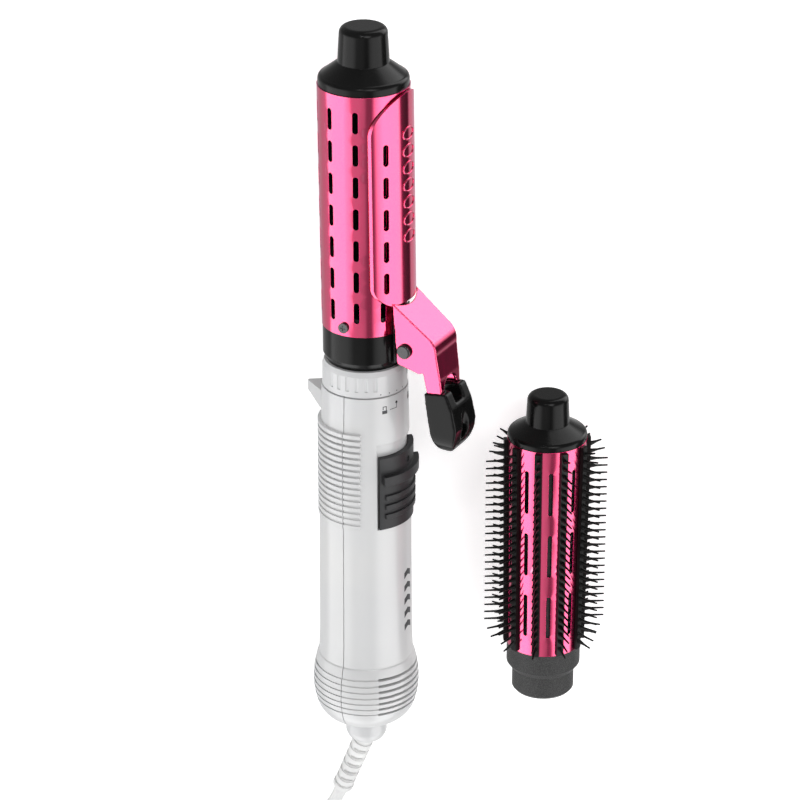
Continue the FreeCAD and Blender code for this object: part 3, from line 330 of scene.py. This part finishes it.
def print_ink():
    made = Recipe("print_ink", (0.03, 0.03, 0.035), 0.5)
    made.colour(made.ramp(made.noise(1600, 3), (0.3, (0.02, 0.02, 0.022)), (0.8, (0.055, 0.055, 0.06))))
    made.relief(made.noise(2500, 2), 0.00001, 0.3)
    return made.material


def tube_metal(name, axis, low_radius, node):
    """The metal of a tapered tube; its slope follows from its box and its radius at the foot."""
    low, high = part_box(node)
    slope = ((high[0] - low[0]) / 2 - low_radius) / (high[1] - low[1])
    return pink_anodised(name, axis, low_radius, slope, low[1])


BARREL_LOW_R = 18.3 * MM
BRUSH_LOW_R = 16.45 * MM
MATERIALS = {
    "handle_shell": white_plastic(),
    "black_gloss": black_gloss(),
    "black_grained": black_grained(),
    "switch_black": switch_black(),
    "pink_metal": pink_anodised("pink_anodised"),
    "bristle_nylon": bristle_nylon(),
    "steel": bright_steel(),
    "black_steel": black_steel(),
    "heater_wire": tinted("heater_wire", (0.3, 0.27, 0.22), (0.5, 0.44, 0.35), 0.35, metallic=1.0),
    "mica": tinted("mica", (0.45, 0.38, 0.24), (0.66, 0.58, 0.4), 0.3, grain=300),
    "motor_steel": tinted("motor_steel", (0.4, 0.4, 0.39), (0.58, 0.58, 0.56), 0.3, metallic=1.0),
    "inner_plastic": tinted("inner_plastic", (0.02, 0.02, 0.02), (0.045, 0.042, 0.04), 0.5),
    "circuit": tinted("circuit", (0.02, 0.09, 0.04), (0.04, 0.16, 0.07), 0.35, grain=900),
    "wire_cover": tinted("wire_cover", (0.35, 0.02, 0.02), (0.5, 0.04, 0.03), 0.4),
    "cord_white": cord_cover(),
    "brass_blade": tinted("brass_blade", (0.52, 0.4, 0.2), (0.7, 0.57, 0.32), 0.25, metallic=1.0),
    "screen_mesh": woven_screen(),
}
OWN_MATERIALS = {
    "barrel_tube": tube_metal("barrel_pink", STYLER, BARREL_LOW_R, "barrel_tube"),
    "brush_tube": tube_metal("brush_pink", BRUSH, BRUSH_LOW_R, "brush_tube"),
}
INK = print_ink()


def dress_parts():
    """Give every part of the model its material."""
    for part in frame["record"]["subparts"]:
        piece = bpy.data.objects[part["node"]]
        material = OWN_MATERIALS.get(part["node"], MATERIALS[part["material_slot"]])
        if not piece.material_slots:
            piece.data.materials.append(material)
        for entry in piece.material_slots:
            entry.material = material


# ------------------------------------------------------------ meshes

def mesh_piece(name, points, faces, material, smooth=True):
    data = bpy.data.meshes.new(name)
    data.from_pydata([tuple(p) for p in points], [], faces)
    data.validate()
    piece = bpy.data.objects.new(name, data)
    bpy.context.collection.objects.link(piece)
    data.materials.append(material)
    shell = bmesh.new()
    shell.from_mesh(data)
    bmesh.ops.recalc_face_normals(shell, faces=shell.faces)
    shell.to_mesh(data)
    shell.free()
    for face in data.polygons:
        face.use_smooth = smooth
    return piece


def swept(rings, closed_way=False):
    """Points and faces of a tube through rings of equal count, with its ends closed."""
    count = len(rings[0])
    points = [p for ring in rings for p in ring]
    faces = []
    last = len(rings) if closed_way else len(rings) - 1
    for row in range(last):
        here, there = row * count, ((row + 1) % len(rings)) * count
        for k in range(count):
            nxt = (k + 1) % count
            faces.append((here + k, here + nxt, there + nxt, there + k))
    if not closed_way:
        faces.append(tuple(range(count))[::-1])
        faces.append(tuple(range(len(points) - count, len(points))))
    return points, faces


def softened(node, body, material, grain, passes):
    """A part's own shape with every corner rounded over; it takes the part's place."""
    source = bpy.data.objects[node]
    data = source.data.copy()
    data.transform(source.matrix_world)
    piece = bpy.data.objects.new(node + "_soft", data)
    bpy.context.collection.objects.link(piece)
    remesh = piece.modifiers.new("even", "REMESH")
    remesh.mode = "VOXEL"
    remesh.voxel_size = grain
    rounding = piece.modifiers.new("rounding", "SMOOTH")
    rounding.factor = 0.5
    rounding.iterations = passes
    shaped = piece.evaluated_get(bpy.context.evaluated_depsgraph_get())
    rounded = bpy.data.meshes.new_from_object(shaped)
    piece.modifiers.clear()
    piece.data = rounded
    rounded.materials.clear()
    rounded.materials.append(material)
    for face in rounded.polygons:
        face.use_smooth = True
    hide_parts(node)
    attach(piece, body)


# ------------------------------------------------------------ cord

RELIEF_WAY = Vector((-0.2853, -0.9074, -0.3213)).normalized()
RELIEF_INSIDE = 3.2 * MM
RELIEF_LONG = 38.9 * MM
LEAD_STEPS = [(0.0, 0.0, 0.0), (-2.57, -8.17, -2.89), (-7.2, -17.6, -6.6), (-11.7, -28.6, -9.0),
              (-14.8, -41.2, -9.4), (-16.4, -54.1, -9.4), (-16.8, -65.1, -9.4)]
CORD_WIDE = 6.0 * MM
CORD_THICK = 3.1 * MM
LANE = 6.3 * MM                # distance between neighbouring turns
LAYER = 3.15 * MM              # distance between layers of turns
COIL_R = 33.0 * MM
COIL_EDGE = 39.6 * MM          # where the lead joins, from the coil's middle
COIL_HIGH = 10.4 * MM
PLUG_SHIFT = 6.0 * MM
PLUG_LONG = 27.0 * MM
PLUG_HIGH = 13.0 * MM
TURN_POINTS = 24
CHANGE = 1 / 6                 # share of a turn in which the cord changes lane or layer
CLIMB_FROM = 0.75              # share of the turn after which a layer is climbed
# Each turn's lane, from the inner one, and its layer, from the table.
TURNS = [(2, 0), (1, 0), (0, 0), (0, 1), (1, 1), (2, 1), (2, 2), (1, 2), (0, 2)]
COIL_TURNS = 8.25


def relief_end():
    cup_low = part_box("swivel_cup")[0][1]
    start = Vector((STYLER.x, cup_low + RELIEF_INSIDE, STYLER.z))
    return start + RELIEF_WAY * RELIEF_LONG


def eased(value):
    value = min(max(value, 0.0), 1.0)
    return value * value * (3 - 2 * value)


def coil_place(travel):
    """Radius and height of the cord's middle after a number of turns.

    Lanes change in a short window at the joining side; layers change just before it.
    """
    turn = int(travel + 0.5)
    before, after = TURNS[max(turn - 1, 0)], TURNS[min(turn, len(TURNS) - 1)]
    shift = eased((travel - turn + CHANGE / 2) / CHANGE)
    lane = before[0] + (after[0] - before[0]) * shift
    here = int(travel)
    following = TURNS[min(here + 1, len(TURNS) - 1)]
    climb = eased((travel - here - CLIMB_FROM) / CHANGE)
    layer = TURNS[here][1] + (following[1] - TURNS[here][1]) * climb
    return COIL_R + (lane - 1) * LANE, CORD_THICK / 2 + layer * LAYER


def coil_points(centre):
    """The wound turns, and the last stretch that climbs to the plug."""
    flat = (1 + math.cos(2 * math.pi / TURN_POINTS)) / 2
    points = []
    steps = int(COIL_TURNS * TURN_POINTS)
    plug_rear = PLUG_SHIFT - PLUG_LONG / 2
    plug_middle = COIL_HIGH + PLUG_HIGH / 2
    rise_from = 8.02
    straight_in = Vector((5.0 * MM, 0, 0))
    for k in range(1, steps - 1):
        travel = k / TURN_POINTS
        radius, height = coil_place(travel)
        rise = eased((travel - rise_from) / (COIL_TURNS - rise_from))
        radius += (COIL_R - radius) * rise
        height += (plug_middle - height) * rise
        angle = math.pi + 2 * math.pi * travel
        reach = radius / flat
        points.append(centre + Vector((reach * math.cos(angle), reach * math.sin(angle), height)))
    entry = centre + Vector((plug_rear, -COIL_R, plug_middle))
    return points + [entry - straight_in, entry]


def route_line(points):
    """The smooth line of the cord, read from a NURBS spline with those control points."""
    curve = bpy.data.curves.new("cord_route", "CURVE")
    curve.dimensions = "3D"
    curve.resolution_u = 6
    spline = curve.splines.new("NURBS")
    spline.points.add(len(points) - 1)
    for entry, point in zip(spline.points, points):
        entry.co = (*point, 1.0)
    spline.order_u = 3
    spline.use_endpoint_u = True
    holder = bpy.data.objects.new("cord_route", curve)
    bpy.context.collection.objects.link(holder)
    line = bpy.data.meshes.new_from_object(holder)
    places = [vertex.co.copy() for vertex in line.vertices]
    bpy.data.objects.remove(holder)
    bpy.data.curves.remove(curve)
    bpy.data.meshes.remove(line)
    return places


def twin_section():
    """Two round wires side by side: (across, up) points of the flat cord's outline."""
    radius = CORD_THICK / 2
    off = CORD_WIDE / 2 - radius
    points = []
    step = 26                  # degrees between the points of each round wire
    for middle_x, start in ((off, -130), (-off, 50)):
        for k in range(11):
            turn = math.radians(start + step * k)
            points.append((middle_x + radius * math.cos(turn), radius * math.sin(turn)))
    return points


def flat_cord():
    start = relief_end()
    lead = [start + Vector(step) * MM for step in LEAD_STEPS]
    centre = Vector((lead[-1].x + COIL_EDGE, lead[-1].y, 0))
    line = route_line(lead + coil_points(centre))
    outline = twin_section()
    rings = []
    for k, place in enumerate(line):
        way = (line[min(k + 1, len(line) - 1)] - line[max(k - 1, 0)]).normalized()
        side = way.cross(Vector((0, 0, 1))).normalized()
        up = side.cross(way).normalized()
        rings.append([place + side * a + up * b for a, b in outline])
    points, faces = swept(rings)
    piece = mesh_piece("flat_cord", points, faces, MATERIALS["cord_white"])
    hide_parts("cord_lead", "cord_coil")
    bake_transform(piece)


# ------------------------------------------------------------ printed and raised marks

INK_THICK = 0.06               # millimetres, as are all the sizes of the marks
INK_SUNK = 0.02                # how deep a mark starts under the surface


def widening(height, start, long, radius, wider):
    """Radius of the handle's casing, which widens over one stretch below a start height."""
    return radius + wider * min(max((start - height) / long, 0.0), 1.0)


def neck_radius(height):
    return widening(height, 0.0, 17.0, 18.75, 0.4)


def patch(name, outline, radius_at, body="handle"):
    """A printed mark: a thin plate on the styler's surface; the outline is (angle, height) points."""
    low = [on_styler(a, u, radius_at(u) - INK_SUNK) for a, u in outline]
    top = [on_styler(a, u, radius_at(u) + INK_THICK) for a, u in outline]
    points, faces = swept([low, top])
    piece = mesh_piece(name, points, faces, INK, smooth=False)
    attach(piece, body)


def oval(angle, height, across, along, count=24):
    """Outline of an ellipse on the surface; across is in degrees, along in millimetres."""
    turns = [2 * math.pi * k / count for k in range(count)]
    return [(angle + across * math.cos(turn), height + along * math.sin(turn)) for turn in turns]


def bar(start, end, half_across, half_along):
    """Outline of a bar between two (angle, height) points, along the axis or round it."""
    (a0, u0), (a1, u1) = start, end
    if a0 == a1:
        return [(a0 - half_across, u0), (a0 + half_across, u0),
                (a0 + half_across, u1), (a0 - half_across, u1)]
    steps = 8
    lower = [(a0 + (a1 - a0) * k / steps, u0 - half_along) for k in range(steps + 1)]
    return lower + [(a, u0 + half_along) for a, _ in reversed(lower)]


def padlock(name, angle, height, is_open):
    """A small padlock sign: a filled body and a shackle of short bars."""
    lift = 0.5 if is_open else 0.0
    reach, thin, foot, top = 2.3, 0.55, 0.7, 2.0
    patch(name + "_body", bar((angle - 3.6, height), (angle + 3.6, height), 0, 0.75), neck_radius)
    for k, (offset, raised) in enumerate(((-reach, lift), (reach, 0.0))):
        start = (angle + offset, height + foot + raised)
        patch(f"{name}_side_{k}", bar(start, (angle + offset, height + top + lift), thin, 0), neck_radius)
    start = (angle - reach - thin, height + top + lift)
    patch(name + "_top", bar(start, (angle + reach + thin, height + top + lift), 0, 0.17), neck_radius)


def open_mark():
    """Dot and leader line that show where the ring opens, with an open padlock."""
    patch("open_dot", oval(46, -3.4, 1.9, 0.6), neck_radius)
    patch("open_stem", bar((46, -4.0), (46, -5.9), 0.35, 0), neck_radius)
    patch("open_line", bar((35, -5.9), (46.3, -5.9), 0, 0.11), neck_radius)
    padlock("open_padlock", 27, -6.6, is_open=True)
    padlock("closed_padlock", 79, -5.0, is_open=False)


def ring_radius(height):
    """The lock ring is a plain cylinder: its radius doesn't change with height."""
    return 18.4


def ring_marks():
    """The index line on the lock ring and the small dots along its lower edge."""
    first, pitch = 22, 13
    patch("ring_index", bar((80, 5.6), (80, 11.0), 1.0, 0), ring_radius, "ring")
    for k in range(4):
        patch(f"ring_dot_{k}", oval(first + pitch * k, 1.7, 0.9, 0.25, 12), ring_radius, "ring")


def handle_radius(height):
    return widening(height, -62.4, 58.4, 20.1, 0.4)


def handle_sign():
    """A plain printed ornament on the handle: five bent bars like a warm draught."""
    first, pitch = -88.0, 6.4
    left, centre, right = 57, 65, 73
    for k in range(5):
        height = first - k * pitch
        outline = [(left, height + 0.6), (centre, height + 2.0), (right, height + 0.6),
                   (right, height - 2.2), (centre, height - 0.8), (left, height - 2.2)]
        patch(f"draught_bar_{k}", outline, handle_radius)


CLIP_R = 20.9
CLIP_LEAN = math.tan(math.radians(0.85))
CLIP_TOP = 136.6
CLIP_ANGLE = 62.0


def on_clip(angle, height, raised):
    """A point on the clip: its angle from the clip's middle in degrees, and millimetres."""
    turn = math.radians(angle)
    lean = CLIP_LEAN * (CLIP_TOP - height)
    forward = (CLIP_R + raised) * math.cos(turn) + lean
    across = (CLIP_R + raised) * math.sin(turn)
    facing = math.radians(CLIP_ANGLE)
    x = forward * math.sin(facing) + across * math.cos(facing)
    z = forward * math.cos(facing) - across * math.sin(facing)
    return STYLER + Vector((x, height, z)) * MM


RING_WIDE = 13.0               # degrees from the clip's middle
RING_LONG = 3.1
# The bead's section: its reach across and along, as shares of the ring's, and how far it is raised.
BEAD = [(1.0, 1.0, -0.05), (0.97, 0.96, 0.294), (0.91, 0.86, 0.42), (0.8446, 0.7488, 0.294),
        (0.82, 0.72, -0.05)]


def clip_chain():
    """Raised rings along the middle of the clip, pressed into its metal."""
    first, pitch, steps = 118.0, 7.6, 40
    for k in range(7):
        height = first - k * pitch
        rings = []
        for step in range(steps):
            turn = 2 * math.pi * step / steps
            across, along = RING_WIDE * math.cos(turn), RING_LONG * math.sin(turn)
            rings.append([on_clip(across * wide, height + along * long, raised)
                          for wide, long, raised in BEAD])
        points, faces = swept(rings, closed_way=True)
        piece = mesh_piece(f"clip_ring_{k}", points, faces, MATERIALS["pink_metal"])
        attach(piece, "clip")


# ------------------------------------------------------------ floor, light and camera

FLOOR_GLOW = 0.55              # keeps the shadows round the set pale for the camera


def floor():
    half = 4.0
    points = [(-half, -half, 0), (half, -half, 0), (half, half, 0), (-half, half, 0)]
    made = Recipe("floor", (0.9, 0.9, 0.9), 0.6)
    made.colour(made.ramp(made.noise(6, 4), (0.3, (0.9, 0.9, 0.9)), (0.8, (0.93, 0.93, 0.93))))
    made.relief(made.noise(300, 2), 0.00002, 0.1)
    made.shader.inputs["Emission Color"].default_value = (1.0, 1.0, 1.0, 1.0)
    seen = made.node("ShaderNodeLightPath").outputs["Is Camera Ray"]
    made.join(made.maths("MULTIPLY", seen, FLOOR_GLOW), made.shader.inputs["Emission Strength"])
    piece = mesh_piece("floor", points, [(0, 1, 2, 3)], made.material, smooth=False)
    piece.visible_glossy = False   # polished parts mirror the studio's boxes all round


# Brightness of the studio round the set's long axis, by the angle from straight up towards +X.
SIDE_BOXES = [(-180, 0.6), (-135, 0.7), (-108, 0.9), (-100, 3.4), (-50, 3.6), (-38, 2.4), (-31, 1.0),
              (-8, 0.95), (2, 0.75), (8, 0.3), (21, 0.3), (30, 2.4), (45, 3.6), (86, 3.2), (94, 0.15),
              (120, 0.05), (127, 0.9), (180, 0.7)]
# The studio beyond the tips is dimmer, with one card low on the right.
TIP_BOXES = [(-180, 0.45), (106, 0.45), (112, 3.6), (140, 3.6), (148, 0.45), (180, 0.45)]
MATT_SHARE = 0.52              # how much of the studio's light reaches matt surfaces
WALL = (0.94, 0.94, 0.945)


def studio_world():
    """Long soft boxes on both sides of the set; the camera sees a plain pale wall instead."""
    world = bpy.data.worlds.new("studio")
    bpy.context.scene.world = world
    world.use_nodes = True
    tree = world.node_tree

    def node(kind, **settings):
        made = tree.nodes.new(kind)
        for name, setting in settings.items():
            setattr(made, name, setting)
        return made

    def remap(source, start, end, low=0.0, high=1.0):
        made = node("ShaderNodeMapRange")
        for name, number in (("From Min", start), ("From Max", end), ("To Min", low), ("To Max", high)):
            made.inputs[name].default_value = number
        tree.links.new(source, made.inputs["Value"])
        return made.outputs["Result"]

    def blend(factor, first, second):
        made = node("ShaderNodeMix", data_type="RGBA")
        tree.links.new(factor, made.inputs["Factor"])
        tree.links.new(first, made.inputs[6])
        if isinstance(second, tuple):
            made.inputs[7].default_value = (*second, 1.0)
        else:
            tree.links.new(second, made.inputs[7])
        return made.outputs[2]

    parts = node("ShaderNodeSeparateXYZ")
    tree.links.new(node("ShaderNodeTexCoord").outputs["Generated"], parts.inputs["Vector"])
    angle = node("ShaderNodeMath", operation="ARCTAN2")
    tree.links.new(parts.outputs["X"], angle.inputs[0])
    tree.links.new(parts.outputs["Z"], angle.inputs[1])
    turn = remap(angle.outputs[0], -math.pi, math.pi)
    brightest = max(level for _, level in SIDE_BOXES + TIP_BOXES)

    def bands(levels):
        made = node("ShaderNodeValToRGB")
        scale = made.color_ramp.elements
        while len(scale) < len(levels):
            scale.new(0.5)
        for element, (degrees, level) in zip(scale, levels):
            element.position = (degrees + 180) / 360
            element.color = (level / brightest, level / brightest, level / brightest, 1.0)
        tree.links.new(turn, made.inputs["Fac"])
        return made.outputs["Color"]

    rays = node("ShaderNodeLightPath").outputs
    boost = node("ShaderNodeVectorMath", operation="SCALE")
    strength = remap(rays["Is Diffuse Ray"], 0, 1, brightest, brightest * MATT_SHARE)
    studio = blend(remap(parts.outputs["Y"], -0.05, 0.25), bands(SIDE_BOXES), bands(TIP_BOXES))
    tree.links.new(strength, boost.inputs["Scale"])
    tree.links.new(studio, boost.inputs[0])
    seen = blend(rays["Is Camera Ray"], boost.outputs["Vector"], WALL)
    tree.links.new(seen, tree.nodes["Background"].inputs["Color"])


def soft_light(name, place, target, size, power):
    data = bpy.data.lights.new(name, "AREA")
    data.shape = "RECTANGLE"
    data.size, data.size_y = size
    data.energy = power
    light = bpy.data.objects.new(name, data)
    light.location = place
    light.rotation_euler = (Vector(target) - Vector(place)).to_track_quat("-Z", "Y").to_euler()
    bpy.context.collection.objects.link(light)


def camera():
    """Looks down along the set from beyond its tip, from straight across its width."""
    tilt = math.radians(25)
    distance = 1.511
    aim = Vector((STYLER.x + 15.09 * MM, STYLER.y - 8.66 * MM, STYLER.z))
    data = bpy.data.cameras.new("camera")
    data.lens = 157.5
    data.sensor_width = 36.0
    made = bpy.data.objects.new("camera", data)
    right = Vector((1, 0, 0))
    up = Vector((0, math.cos(tilt), -math.sin(tilt)))
    back = Vector((0, math.sin(tilt), math.cos(tilt)))
    turn = Matrix((right, up, back)).transposed().to_4x4()
    made.matrix_world = Matrix.Translation(aim + back * distance) @ turn
    bpy.context.collection.objects.link(made)
    bpy.context.scene.camera = made


camera()
flat_cord()
dress_parts()
softened("clip_lever", "clip", MATERIALS["pink_metal"], 0.3 * MM, 12)
softened("lever_tip", "clip", MATERIALS["black_gloss"], 0.4 * MM, 30)
open_mark()
ring_marks()
handle_sign()
clip_chain()
floor()
studio_world()
soft_light("key", (0.5, 1.0, 1.5), (0, 0, 0), (0.8, 0.8), 10)
soft_light("lamp_left", (-0.30, 1.15, 1.15), (0, 0.1, 0), (0.05, 0.03), 0.8)
soft_light("lamp_right", (-0.18, 1.15, 1.15), (0, 0.1, 0), (0.07, 0.05), 1.4)
bpy.context.scene.view_settings.view_transform = "Standard"
